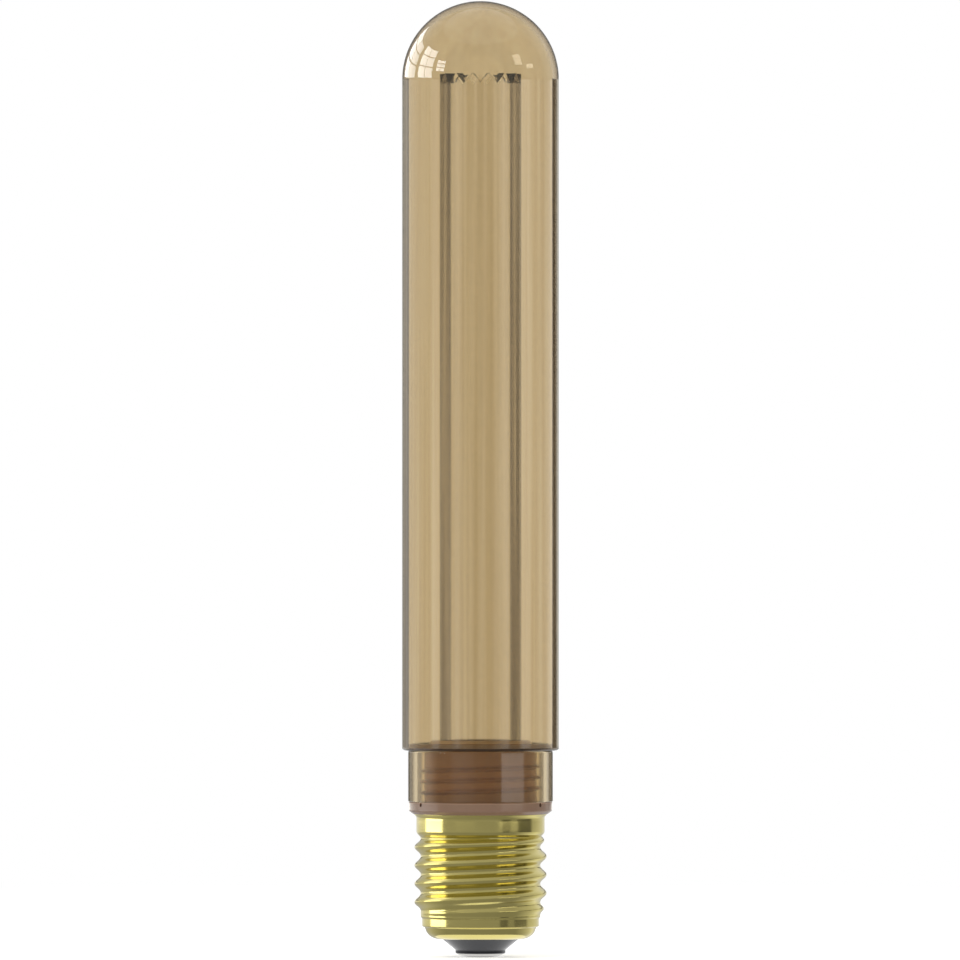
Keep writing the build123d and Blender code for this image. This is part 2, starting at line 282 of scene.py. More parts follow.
def finish_mesh(name, verts, faces, body="root", sharp=32):
    """A lamp piece from its points and faces, smooth but for edges past the angle sharp."""
    mesh = bpy.data.meshes.new(name)
    mesh.from_pydata(verts, [], faces)
    work = bmesh.new()
    work.from_mesh(mesh)
    bmesh.ops.remove_doubles(work, verts=work.verts, dist=1e-7)
    bmesh.ops.recalc_face_normals(work, faces=work.faces)
    work.to_mesh(mesh)
    work.free()
    mesh.shade_smooth()
    mesh.set_sharp_from_angle(angle=math.radians(sharp))
    piece = bpy.data.objects.new(name, mesh)
    bpy.context.scene.collection.objects.link(piece)
    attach(piece, body)
    return piece


def turned(name, outline_at, angles=None, sharp=32):
    """A closed outline turned about Z. outline_at gives the (radius, height) points at an angle."""
    if angles is None:
        angles = [2 * math.pi * i / around for i in range(around)]
    verts = []
    for angle in angles:
        for r, z in outline_at(angle):
            verts.append((r * math.cos(angle) * MM, r * math.sin(angle) * MM, z * MM))
    count = len(verts) // len(angles)
    faces = []
    for i in range(len(angles)):
        after = (i + 1) % len(angles)
        for j in range(count):
            k = (j + 1) % count
            faces.append((i * count + j, after * count + j, after * count + k, i * count + k))
    return finish_mesh(name, verts, faces, sharp=sharp)


def spread(start, end, step):
    """Heights from start to end, step or less apart."""
    count = max(1, math.ceil(abs(end - start) / step))
    return [start + (end - start) * i / count for i in range(count + 1)]


def smooth(low, high, value):
    """0 below low and 1 above high, with a soft rise between."""
    share = min(max((value - low) / (high - low), 0), 1)
    return share * share * (3 - 2 * share)


# Centre contact, insulator and shell
def make_contact():
    radius = outer_r("centre_contact")
    top = high_z("centre_contact")
    outline = rounded([
        (0, 0),
        (contact_flat_r, 0, 1.2),
        (contact_shoulder_r, contact_shoulder_z, 0.8),
        (radius, contact_edge_z, 0.12),
        (radius, contact_back_z),
        (stem_r, contact_back_z),
        (stem_r, top),
        (stem_bore_r, top),
        (stem_bore_r, contact_back_z),
        (0, contact_back_z),
    ])
    piece = turned("contact_rivet", lambda angle: outline)
    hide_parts("centre_contact")
    return piece


def make_insulator():
    top = high_z("insulator")
    foot_z = shell_low + sheet + insulator_gap
    outline = rounded([
        (insulator_bore_r, contact_back_z),
        (nose_r, contact_back_z, 0.10),
        (nose_r, nose_top_z, 0.35),
        (cone_r, shell_low, 0.06),
        (cone_r, foot_z),
        (insulator_foot_r, foot_z, 0.4),
        (insulator_side_r, insulator_side_z, 0.6),
        (insulator_top_r, top),
        (insulator_bore_r, top),
    ])
    piece = turned("insulator_glass", lambda angle: outline)
    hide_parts("insulator")
    return piece


def thread_swell(up, angle):
    """How far the rolled thread stands out, from 0 to 1, at a height above the shell's foot."""
    left = thread_left_z - shell_low
    phase = (up - left) / pitch - (angle - math.pi) / (2 * math.pi)
    wave = (1 + math.cos(2 * math.pi * phase)) / 2
    begun = smooth(thread_start, thread_start + thread_rise, up)
    ended = smooth(thread_end, thread_end + thread_fall, up)
    return wave ** thread_power * begun * (1 - ended)


def shell_radius(up):
    """The shell's outside radius at a height above its foot, without its thread."""
    for (z0, r0), (z1, r1) in zip(shell_stops, shell_stops[1:]):
        if up <= z1:
            return r0 + (r1 - r0) * (up - z0) / (z1 - z0)
    return shell_stops[-1][1]


def make_shell():
    rows = []
    for start, end, step in shell_rows:
        if rows and math.isclose(rows[-1], start):
            rows.pop()
        rows += spread(start, end, step)

    def outline(angle):
        outside = []
        for up in rows:
            radius = shell_radius(up)
            swell = thread_swell(up, angle)
            if swell > 0:
                radius = max(radius, plain_r + thread_depth * swell)
            outside.append((radius, shell_low + up))
        inside = [(r - sheet, max(z, shell_low + sheet)) for r, z in reversed(outside)]
        inside[0] = (inside[0][0], shell_top)
        inside[-1] = (shell_bend_r, shell_low + sheet)
        return [(shell_hole_r, shell_low)] + outside + inside + [(shell_hole_r, shell_low + sheet)]

    piece = turned("rolled_screw_shell", outline, sharp=50)
    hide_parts("screw_shell")
    return piece


# Driver housing with its coupling thread, and the collar
def coupling_rise(z, angle):
    """Height of the fine V ridge at a height and angle, from 0 to 1."""
    phase = (z - coupling_left_z) / coupling_pitch - (angle - math.pi) / (2 * math.pi)
    off = abs(phase - round(phase)) * coupling_pitch
    wave = max(0.0, 1 - off / coupling_half_width)
    low, high = coupling_ends
    return wave * smooth(low, low + coupling_fade, z) * (1 - smooth(high - coupling_fade, high, z))


def add_rails(work):
    """The two slotted rails on the housing's inside that hold the driver board."""
    inner_x = cavity_r - rail_reach
    root_x = cavity_r + rail_root
    low = low_z("driver_housing")
    section = [
        (inner_x, -rail_half),
        (root_x, -rail_half),
        (root_x, rail_half),
        (inner_x, rail_half),
        (inner_x, rail_slot_half),
        (rail_slot_r, rail_slot_half),
        (rail_slot_r, -rail_slot_half),
        (inner_x, -rail_slot_half),
    ]
    for side in (-1, 1):
        lower = [work.verts.new((side * x * MM, y * MM, low * MM)) for x, y in section]
        upper = [work.verts.new((side * x * MM, y * MM, shelf_z * MM)) for x, y in section]
        work.faces.new(lower)
        work.faces.new(upper)
        for i in range(len(section)):
            j = (i + 1) % len(section)
            work.faces.new((lower[i], lower[j], upper[j], upper[i]))


def cut_pips(piece):
    """Sink the two small blind holes into the flange's rim, one on each side of the front."""
    radius = outer_r("driver_housing") * MM
    height = (collar_low - pip_drop) * MM
    for side in (-1, 1):
        angle = math.radians(-90 + side * pip_angle)
        work = bmesh.new()
        bmesh.ops.create_cone(work, cap_ends=True, segments=24, radius1=pip_r * MM,
                              radius2=pip_r * MM, depth=2 * pip_depth * MM)
        for vert in work.verts:
            x, y, z = vert.co
            vert.co = (
                (radius + z) * math.cos(angle) + y * math.sin(angle),
                (radius + z) * math.sin(angle) - y * math.cos(angle),
                x + height,
            )
        cutter_mesh = bpy.data.meshes.new("pip_cutter")
        work.to_mesh(cutter_mesh)
        work.free()
        cutter = bpy.data.objects.new("pip_cutter", cutter_mesh)
        bpy.context.scene.collection.objects.link(cutter)
        cut = piece.modifiers.new("pip", "BOOLEAN")
        cut.operation = "DIFFERENCE"
        cut.object = cutter
        bpy.context.view_layer.update()
        seen = piece.evaluated_get(bpy.context.evaluated_depsgraph_get())
        cut_mesh = bpy.data.meshes.new_from_object(seen)
        piece.modifiers.clear()
        piece.data = cut_mesh
        bpy.data.objects.remove(cutter)


def make_housing():
    flange_r = outer_r("driver_housing")
    neck_low = low_z("driver_housing")
    top = high_z("driver_housing")
    flange_low = shell_top
    flange_top = collar_low
    sharp = 40
    # The points cut off at the ends only give the corners beside them a direction
    below = rounded([
        (cavity_r, neck_low),
        (neck_r, neck_low, 0.3),
        (neck_r, neck_slope[0], 0.3),
        (neck_wide_r, neck_slope[1], 0.3),
        (neck_wide_r, flange_low),
        (flange_r - flange_inset, flange_low, 0.20),
        (flange_r, flange_low + flange_slope, 0.40),
        (flange_r, flange_top, 0.12),
        (housing_r, flange_top),
        (housing_r, top),
    ])[:-2]
    above = rounded([
        (housing_r, top - 1),
        (housing_r, top, 0.25),
        (recess_r, top),
        (recess_r, recess_z),
        (seat_r, recess_z),
        (seat_r, seat_z),
        (shelf_r, seat_z),
        (shelf_r, shelf_z),
        (cavity_r, shelf_z),
        (cavity_r, neck_low),
    ])[1:-1]
    ridge_heights = spread(flange_top, top - coupling_stop, coupling_row)

    def outline(angle):
        ridges = [(housing_r + coupling_depth * coupling_rise(z, angle), z) for z in ridge_heights]
        return below + ridges + above

    piece = turned("housing_moulding", outline, sharp=sharp)
    cut_pips(piece)
    work = bmesh.new()
    work.from_mesh(piece.data)
    add_rails(work)
    bmesh.ops.recalc_face_normals(work, faces=work.faces)
    work.to_mesh(piece.data)
    work.free()
    piece.data.shade_smooth()
    piece.data.set_sharp_from_angle(angle=math.radians(sharp))
    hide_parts("driver_housing")
    return piece


def make_collar():
    radius = outer_r("collar")
    top = high_z("collar")
    outline = rounded([
        (collar_bore_r, collar_low),
        (radius, collar_low, 0.15),
        (radius, tube_low, 0.30),
        (spigot_r, tube_low),
        (spigot_r, top, 0.2),
        (collar_bore_r, top, 0.2),
    ])
    piece = turned("collar_moulding", lambda angle: outline, sharp=40)
    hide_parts("collar")
    return piece


# Glass, light guide and holder
def make_glass():
    inner_r = tube_r - glass_wall
    arc_steps = 48
    arc = [math.pi / 2 * i / arc_steps for i in range(1, arc_steps + 1)]
    outside = [(tube_r * math.cos(a), dome_z + tube_r * math.sin(a)) for a in arc]
    inside = [(inner_r * math.cos(a), dome_z + inner_r * math.sin(a)) for a in reversed(arc)]
    rim_top = tube_low + rim_band
    wall_top = dome_z - dome_band
    rim = rounded([
        (inner_r, rim_top),
        (inner_r, tube_low, 0.30),
        (tube_r, tube_low, 0.55),
        (tube_r, rim_top),
    ], steps=10)
    outer_wall = [(tube_r, wall_top), (tube_r, dome_z)]
    inner_wall = [(inner_r, dome_z), (inner_r, wall_top)]
    outline = rim + outer_wall + outside + inside + inner_wall
    piece = turned("glass_tube", lambda angle: outline, sharp=60)
    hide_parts("glass_envelope")
    return piece


def make_guide():
    """The clear tube. A straight V cut between each two teeth runs outwards across its wall."""
    bore_r = guide_r - guide_wall
    board_top = low_z("light_guide")
    foot_r = outer_r("light_guide")
    foot_top = board_top + guide_foot_h
    half_tooth = math.radians(180 / crown_teeth)
    half_cut = half_tooth - math.radians(crown_tip_angle / 2)
    phase = math.radians(-90 + crown_phase) + half_tooth
    fall = crown_depth / guide_r
    side = fall / math.tan(half_cut)

    def crown(r, offset):
        x = r * math.cos(offset)
        y = abs(r * math.sin(offset))
        return guide_top + min(0.0, side * y - fall * x)

    offsets = [half_cut * i / 8 for i in range(-8, 9)] + [half_tooth]
    angles = []
    off_at = {}
    for tooth in range(crown_teeth):
        for offset in offsets:
            angle = phase + 2 * tooth * half_tooth + offset
            off_at[angle] = offset
            angles.append(angle)

    def outline(angle):
        offset = off_at[angle]
        return [
            (bore_r, guide_low),
            (foot_r - skirt_wall, guide_low),
            (foot_r - skirt_wall, board_top),
            (foot_r, board_top),
            (foot_r, foot_top),
            (guide_r, foot_top),
            (guide_r, valley_z),
            (guide_r, crown(guide_r, offset)),
            (bore_r, crown(bore_r, offset)),
        ]

    piece = turned("light_guide_tube", outline, angles, sharp=14)
    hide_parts("light_guide")
    return piece


def make_holder():
    radius = outer_r("guide_holder")
    low = low_z("guide_holder")
    top = high_z("guide_holder")
    outline = rounded([
        (holder_foot_r, low),
        (radius, low, 0.1),
        (radius, top, holder_edge),
        (holder_bore_r, top, 0.2),
        (holder_bore_r, holder_foot_z),
        (holder_foot_r, holder_foot_z),
    ], steps=12)
    piece = turned("guide_clamp_ring", lambda angle: outline)
    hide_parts("guide_holder")
    return piece


# Material helpers
def new_material(name):
    material = bpy.data.materials.new(name)
    material.use_nodes = True
    tree = material.node_tree
    shader = tree.nodes["Principled BSDF"]
    return material, tree, shader


def link(tree, output, target):
    tree.links.new(output, target)


def noise(tree, scale, detail=3, stretch=(1, 1, 1)):
    """A noise pattern in the lamp's own space, its scale in cells per metre."""
    place = tree.nodes.new("ShaderNodeTexCoord")
    mapping = tree.nodes.new("ShaderNodeMapping")
    mapping.inputs["Scale"].default_value = stretch
    texture = tree.nodes.new("ShaderNodeTexNoise")
    texture.inputs["Scale"].default_value = scale
    texture.inputs["Detail"].default_value = detail
    link(tree, place.outputs["Object"], mapping.inputs["Vector"])
    link(tree, mapping.outputs["Vector"], texture.inputs["Vector"])
    return texture.outputs["Fac"]


def ranged(tree, value, low, high, start=0.0, end=1.0):
    """value from start to end spread over low to high."""
    node = tree.nodes.new("ShaderNodeMapRange")
    node.inputs["From Min"].default_value = start
    node.inputs["From Max"].default_value = end
    node.inputs["To Min"].default_value = low
    node.inputs["To Max"].default_value = high
    link(tree, value, node.inputs["Value"])
    return node.outputs["Result"]


def two_colours(tree, value, first, second):
    node = tree.nodes.new("ShaderNodeMix")
    node.data_type = "RGBA"
    node.inputs["A"].default_value = (*first, 1)
    node.inputs["B"].default_value = (*second, 1)
    link(tree, value, node.inputs["Factor"])
    return node.outputs["Result"]


def bumped(tree, shader, value, distance, strength=0.3):
    """A bump of the shader's surface, its distance in millimetres."""
    node = tree.nodes.new("ShaderNodeBump")
    node.inputs["Strength"].default_value = strength
    node.inputs["Distance"].default_value = distance * MM
    link(tree, value, node.inputs["Height"])
    link(tree, node.outputs["Normal"], shader.inputs["Normal"])


def stopped(tree, value, stops):
    """A colour by value, from stops of (value, colour)."""
    ramp = tree.nodes.new("ShaderNodeValToRGB")
    entries = ramp.color_ramp.elements
    while len(entries) < len(stops):
        entries.new(0.5)
    for entry, (place, colour) in zip(entries, stops):
        entry.position = place
        entry.color = (*colour, 1)
    link(tree, value, ramp.inputs["Fac"])
    return ramp.outputs["Color"]


def by_facing(tree, stops):
    """A colour by how far a surface turns from the ray: 0 faces it and 1 grazes it."""
    weight = tree.nodes.new("ShaderNodeLayerWeight")
    weight.inputs["Blend"].default_value = 0.5
    return stopped(tree, weight.outputs["Facing"], stops)


def plain(name, colour, roughness, metallic=0.0, vary=0.12, scale=900, bump=0.01):
    """A moulded, painted or metal surface with a faint unevenness."""
    material, tree, shader = new_material(name)
    darker = tuple(c * (1 - vary) for c in colour)
    value = noise(tree, scale)
    link(tree, two_colours(tree, value, darker, colour), shader.inputs["Base Color"])
    link(tree, ranged(tree, value, roughness * 0.85, roughness * 1.15), shader.inputs["Roughness"])
    shader.inputs["Metallic"].default_value = metallic
    bumped(tree, shader, value, bump)
    return material


def clear(name, stops, ior, vary, streak=300):
    """Clear glass or plastic with lengthwise streaks of random tone, painted in for faint streaky
    reflections.
    stops give what one wall lets through, from rays that meet it squarely to rays that graze it; the
    dark grazing colours given in stops are painted shade."""
    material, tree, shader = new_material(name)
    # Painted reflection: random lengthwise streaks of tone stand in for faint streaky reflections
    streaks = ranged(tree, noise(tree, streak, 4, (1, 1, 0.01)), 1 - vary, 1 + vary, 0.35, 0.65)
    tinted = tree.nodes.new("ShaderNodeGamma")
    link(tree, by_facing(tree, stops), tinted.inputs["Color"])
    link(tree, streaks, tinted.inputs["Gamma"])
    link(tree, tinted.outputs["Color"], shader.inputs["Base Color"])
    shader.inputs["Roughness"].default_value = 0.0
    shader.inputs["IOR"].default_value = ior
    shader.inputs["Transmission Weight"].default_value = 1.0
    return material


def emission(name, colour, strength):
    """A material that only glows."""
    material = bpy.data.materials.new(name)
    material.use_nodes = True
    tree = material.node_tree
    tree.nodes.clear()
    light = tree.nodes.new("ShaderNodeEmission")
    light.inputs["Color"].default_value = (*colour, 1)
    light.inputs["Strength"].default_value = strength
    out = tree.nodes.new("ShaderNodeOutputMaterial")
    link(tree, light.outputs["Emission"], out.inputs["Surface"])
    return material


def dress(piece, *materials):
    """Give a piece these materials in place of its own."""
    piece.data.materials.clear()
    for material in materials:
        piece.data.materials.append(material)


# The lamp's own materials
def brass():
    material, tree, shader = new_material("rolled_brass")
    streaks = noise(tree, 260, 4, (1, 1, 2))
    tone = two_colours(tree, streaks, (0.64, 0.555, 0.195), (0.70, 0.61, 0.225))
    link(tree, tone, shader.inputs["Base Color"])
    link(tree, ranged(tree, streaks, 0.10, 0.17), shader.inputs["Roughness"])
    shader.inputs["Metallic"].default_value = 1.0
    bumped(tree, shader, noise(tree, 420, 2), 0.015, 0.15)
    return material


def brown_moulding():
    """The housing's plastic, painted darker on the flange than under the collar: the darker flange is
    painted shade, for the less light that falls on it.
    """
    material, tree, shader = new_material("brown_moulding")
    place = tree.nodes.new("ShaderNodeTexCoord")
    split = tree.nodes.new("ShaderNodeSeparateXYZ")
    link(tree, place.outputs["Object"], split.inputs["Vector"])
    low = (collar_low - flange_shade_fade) * MM
    high = (collar_low + flange_shade_fade) * MM
    rise = ranged(tree, split.outputs["Z"], 0.0, 1.0, low, high)
    # Painted shade: the flange's deeper brown stands in for the less light that falls on it
    shaded_flange = two_colours(tree, noise(tree, 1200), (0.175, 0.105, 0.068), (0.195, 0.118, 0.077))
    light = two_colours(tree, noise(tree, 900), (0.42, 0.235, 0.135), (0.46, 0.26, 0.15))
    both = tree.nodes.new("ShaderNodeMix")
    both.data_type = "RGBA"
    link(tree, rise, both.inputs["Factor"])
    link(tree, shaded_flange, both.inputs["A"])
    link(tree, light, both.inputs["B"])
    link(tree, both.outputs["Result"], shader.inputs["Base Color"])
    link(tree, ranged(tree, noise(tree, 700), 0.12, 0.20), shader.inputs["Roughness"])
    bumped(tree, shader, noise(tree, 1500), 0.008)
    return material


def amber_moulding():
    # Painted shade: the near black colours at grazing facing stand in for the dark surroundings and
    # inner reflection seen at the collar's sides
    stops = [
        (0.00, (0.69, 0.57, 0.38)),
        (0.56, (0.66, 0.54, 0.34)),
        (0.66, (0.110, 0.080, 0.045)),
        (0.85, (0.080, 0.070, 0.055)),
    ]
    return clear("amber_moulding", stops, 1.49, 0.10)


def dress_glass(glass):
    """Tint the glass. Its outside, inside and dome darken at the edges in painted shade, for the dark
    surroundings seen through them and partly for the longer path through the wall; the dome's edges
    are painted lighter than the tube's, for the light from above; the rim is painted near black all
    over as shade where the glass stands on the collar.
    """
    tint = (0.71, 0.61, 0.43)
    # Painted shade: the near black grazing colours stand in for dark surroundings seen through the
    # tube's edges, and partly for the longer path through the wall
    tube_shade_stops = [
        (0.00, tint),
        (0.58, (0.68, 0.57, 0.40)),
        (0.61, (0.016, 0.009, 0.004)),
        (0.70, (0.020, 0.012, 0.005)),
        (0.74, (0.080, 0.056, 0.034)),
        (0.80, (0.130, 0.120, 0.095)),
    ]
    inner_shade_stops = [
        (0.00, tint),
        (0.80, tint),
        (0.95, (0.48, 0.38, 0.24)),
    ]
    # Painted light and shade: the dome's edges are kept lighter than the tube's, for the light from
    # above that comes through them
    dome_shade_stops = [
        (0.00, tint),
        (0.60, tint),
        (0.64, (0.46, 0.34, 0.20)),
        (0.76, (0.26, 0.19, 0.12)),
        (0.84, (0.05, 0.04, 0.03)),
    ]
    # Painted shade: the rim's near black stands in for the shade where the glass stands on the collar
    rim_shade_stops = [
        (0.00, (0.090, 0.050, 0.025)),
        (0.50, (0.060, 0.034, 0.016)),
        (0.80, (0.030, 0.020, 0.010)),
    ]
    dress(
        glass,
        clear("gold_glass", tube_shade_stops, 1.50, 0.22, 900),
        clear("gold_glass_inside", inner_shade_stops, 1.50, 0.12, 500),
        clear("gold_glass_dome", dome_shade_stops, 1.50, 0.06),
        clear("gold_glass_shaded_rim", rim_shade_stops, 1.50, 0.0),
    )
    inside, dome, rim = 1, 2, 3
    mid_wall = (tube_r - glass_wall / 2) * MM
    for face in glass.data.polygons:
        spot = Vector(face.center)
        in_shaded_rim = spot.z < (tube_low + shaded_rim) * MM
        spot.z = max(0, spot.z - dome_z * MM)
        if in_shaded_rim:
            face.material_index = rim
        elif spot.length < mid_wall:
            face.material_index = inside
        elif spot.z > 0:
            face.material_index = dome


def dress_guide(guide):
    """Clear plastic with painted shade: its wall darkens towards its sides, more so on the cut faces
    and in the crown, for the dark surroundings and inner reflection seen there.
    """
    tint = (0.955, 0.95, 0.945)
    # Painted shade: the dark grazing colours of the skin, cut faces and crown stand in for dark
    # surroundings and inner reflection at the guide's edges
    skin_shade_stops = [
        (0.00, tint),
        (0.29, tint),
        (0.33, (0.190, 0.175, 0.185)),
        (0.90, (0.160, 0.150, 0.155)),
    ]
    bore_stops = [
        (0.00, (0.93, 0.92, 0.91)),
        (0.25, (0.95, 0.94, 0.93)),
        (0.40, (1.00, 1.00, 1.00)),
        (0.90, (0.90, 0.90, 0.90)),
    ]
    cut_shade_stops = [
        (0.00, (0.66, 0.62, 0.57)),
        (0.35, (0.42, 0.37, 0.32)),
        (0.70, (0.20, 0.16, 0.13)),
    ]
    crown_shade_stops = [
        (0.00, tint),
        (0.22, tint),
        (0.25, (0.045, 0.035, 0.030)),
        (0.90, (0.040, 0.032, 0.028)),
    ]
    dress(
        guide,
        clear("clear_acrylic", skin_shade_stops, 1.49, 0.55, 800),
        clear("clear_acrylic_bore", bore_stops, 1.49, 0.50, 600),
        clear("clear_acrylic_cut", cut_shade_stops, 1.49, 0.0),
        clear("clear_acrylic_crown", crown_shade_stops, 1.49, 0.0),
    )
    bore, cut, crown = 1, 2, 3
    mid_wall = (guide_r - guide_wall / 2) * MM
    for face in guide.data.polygons:
        if abs(face.normal.z) > 0.2:
            face.material_index = cut
        elif math.hypot(face.center.x, face.center.y) < mid_wall:
            face.material_index = bore
        elif face.center.z > valley_z * MM:
            face.material_index = crown


def paint_inner_parts():
    """Give each carried-over node the look of its slot."""
    looks = {
        "cement": plain("cement", (0.34, 0.23, 0.11), 0.4, scale=1500),
        "white_metal_board": plain("white_board", (0.80, 0.78, 0.72), 0.4, scale=700),
        "phosphor": plain("phosphor", (0.90, 0.66, 0.16), 0.5, scale=4000, bump=0.02),
        "green_board": plain("green_board", (0.03, 0.16, 0.06), 0.35, scale=2500, vary=0.3),
        "black_can": plain("can_sleeve", (0.02, 0.02, 0.03), 0.3, scale=900),
        "red_film": plain("film_lacquer", (0.36, 0.05, 0.02), 0.25, scale=900, bump=0.03),
        "ferrite": plain("ferrite", (0.05, 0.05, 0.055), 0.6, scale=5000, bump=0.02),
        "copper": plain("enamelled_wire", (0.62, 0.25, 0.10), 0.3, 0.9, scale=3000, bump=0.03),
        "black_package": plain("package", (0.02, 0.02, 0.02), 0.5, scale=4000),
        "grey_resistor": plain("resistor_lacquer", (0.14, 0.22, 0.18), 0.35, scale=1500),
        "pin_metal": plain("tinned_pin", (0.75, 0.72, 0.62), 0.25, 1.0, scale=1500),
        "red_wire": plain("red_insulation", (0.45, 0.02, 0.02), 0.4, scale=1500),
        "black_wire": plain("black_insulation", (0.02, 0.02, 0.02), 0.4, scale=1500),
    }
    slots = {entry["node"]: entry["material_slot"] for entry in frame["record"]["subparts"]}
    for name, node in nodes.items():
        if slots[name] in looks:
            dress(node, looks[slots[name]])


def build_lamp():
    dress(make_contact(), plain("plated_contact", (0.50, 0.49, 0.47), 0.30, 1.0, scale=1800))
    dress(make_insulator(), plain("black_glass", (0.012, 0.013, 0.017), 0.09, scale=500, bump=0.02))
    dress(make_shell(), brass())
    dress(make_housing(), brown_moulding())
    dress(make_collar(), amber_moulding())
    dress_glass(make_glass())
    dress_guide(make_guide())
    dress(make_holder(), plain("gold_brown_moulding", (0.60, 0.40, 0.18), 0.2, vary=0.06))
    paint_inner_parts()


# Studio: floor, world, cards and panes that only reflections show, lights and camera
def seen_ray(tree):
    """1 for camera, glossy and transmission rays, 0 for the rest."""
    path = tree.nodes.new("ShaderNodeLightPath")
    first = tree.nodes.new("ShaderNodeMath")
    first.operation = "MAXIMUM"
    second = tree.nodes.new("ShaderNodeMath")
    second.operation = "MAXIMUM"
    link(tree, path.outputs["Is Camera Ray"], first.inputs[0])
    link(tree, path.outputs["Is Glossy Ray"], first.inputs[1])
    link(tree, first.outputs["Value"], second.inputs[0])
    link(tree, path.outputs["Is Transmission Ray"], second.inputs[1])
    return second.outputs["Value"]


def make_floor():
    """A pale floor. Near the lamp it takes shadow, and far off it is plain white."""
    half = floor_half
    mesh = bpy.data.meshes.new("floor")
    corners = [(-half, -half, 0), (half, -half, 0), (half, half, 0), (-half, half, 0)]
    mesh.from_pydata(corners, [], [(0, 1, 2, 3)])
    floor = bpy.data.objects.new("floor", mesh)
    bpy.context.scene.collection.objects.link(floor)
    material, tree, shader = new_material("pale_floor")
    shader.inputs["Base Color"].default_value = (0.82, 0.82, 0.82, 1)
    shader.inputs["Roughness"].default_value = 0.9
    shader.inputs["Specular IOR Level"].default_value = 0.0
    far_glow = tree.nodes.new("ShaderNodeEmission")
    near_glow = tree.nodes.new("ShaderNodeEmission")
    near_glow.inputs["Strength"].default_value = floor_glow
    near_floor = tree.nodes.new("ShaderNodeAddShader")
    link(tree, shader.outputs["BSDF"], near_floor.inputs[0])
    link(tree, near_glow.outputs["Emission"], near_floor.inputs[1])
    place = tree.nodes.new("ShaderNodeTexCoord")
    length = tree.nodes.new("ShaderNodeVectorMath")
    length.operation = "LENGTH"
    link(tree, place.outputs["Object"], length.inputs[0])
    share = tree.nodes.new("ShaderNodeMapRange")
    share.interpolation_type = "SMOOTHSTEP"
    share.inputs["From Min"].default_value = floor_fade[0]
    share.inputs["From Max"].default_value = floor_fade[1]
    link(tree, length.outputs["Value"], share.inputs["Value"])
    both = tree.nodes.new("ShaderNodeMixShader")
    link(tree, share.outputs["Result"], both.inputs["Fac"])
    link(tree, near_floor.outputs["Shader"], both.inputs[1])
    link(tree, far_glow.outputs["Emission"], both.inputs[2])
    link(tree, both.outputs["Shader"], tree.nodes["Material Output"].inputs["Surface"])
    dress(floor, material)


def make_world():
    """A white world at strength 1 to the camera and reflections, and a dimmer light on the lamp."""
    world = bpy.data.worlds.new("studio")
    world.use_nodes = True
    tree = world.node_tree
    back = tree.nodes["Background"]
    back.inputs["Color"].default_value = (1, 1, 1, 1)
    link(tree, ranged(tree, seen_ray(tree), 0.55, 1.0), back.inputs["Strength"])
    bpy.context.scene.world = world


def reflected_card(name, verts, faces, colour, strength):
    """A lit or dark card that only reflections show."""
    mesh = bpy.data.meshes.new(name)
    mesh.from_pydata(verts, [], faces)
    panel = bpy.data.objects.new(name, mesh)
    bpy.context.scene.collection.objects.link(panel)
    dress(panel, emission(name, colour, strength))
    panel.visible_camera = False
    panel.visible_diffuse = False
    panel.visible_transmission = False
    panel.visible_shadow = False
    panel.visible_volume_scatter = False
    return panel


def card_ring(name, stops, rims, colour):
    """A card all round between two rims, each (radius, height) in metres. stops are (azimuth,
    strength), with soft changes between them. Azimuth 0 is towards the photograph's camera and
    90 is the lamp's right side."""
    count = 96
    verts = []
    faces = []
    for i in range(count):
        angle = 2 * math.pi * i / count
        for radius, height in rims:
            verts.append((radius * math.cos(angle), radius * math.sin(angle), height))
        j = (i + 1) % count
        faces.append((2 * i, 2 * j, 2 * j + 1, 2 * i + 1))
    card = reflected_card(name, verts, faces, colour, 1.0)
    tree = card.data.materials[0].node_tree
    place = tree.nodes.new("ShaderNodeTexCoord")
    turn = tree.nodes.new("ShaderNodeMapping")
    turn.inputs["Rotation"].default_value = (0, 0, math.radians(90))
    round_about = tree.nodes.new("ShaderNodeTexGradient")
    round_about.gradient_type = "RADIAL"
    link(tree, place.outputs["Object"], turn.inputs["Vector"])
    link(tree, turn.outputs["Vector"], round_about.inputs["Vector"])
    most = max(strength for azimuth, strength in stops)
    greys = [(azimuth / 360 + 0.5, (strength / most,) * 3) for azimuth, strength in stops]
    scale = tree.nodes.new("ShaderNodeMath")
    scale.operation = "MULTIPLY"
    scale.inputs[1].default_value = most
    link(tree, stopped(tree, round_about.outputs["Fac"], greys), scale.inputs[0])
    link(tree, scale.outputs["Value"], tree.nodes["Emission"].inputs["Strength"])


def window_pane(name, azimuths, heights, strength, colour=white):
    """A bright pane that only reflections show, between two azimuths and two heights."""
    count = 8
    verts = []
    faces = []
    for i in range(count + 1):
        azimuth = math.radians(azimuths[0] + (azimuths[1] - azimuths[0]) * i / count)
        for height in heights:
            verts.append((pane_r * math.sin(azimuth), -pane_r * math.cos(azimuth), height))
    for i in range(count):
        faces.append((2 * i, 2 * i + 2, 2 * i + 3, 2 * i + 1))
    reflected_card(name, verts, faces, colour, strength)


def card_disc(name, radius, height, strength):
    count = 48
    verts = []
    for i in range(count):
        angle = 2 * math.pi * i / count
        verts.append((radius * math.cos(angle), radius * math.sin(angle), height))
    reflected_card(name, verts, [tuple(range(count))], white, strength)


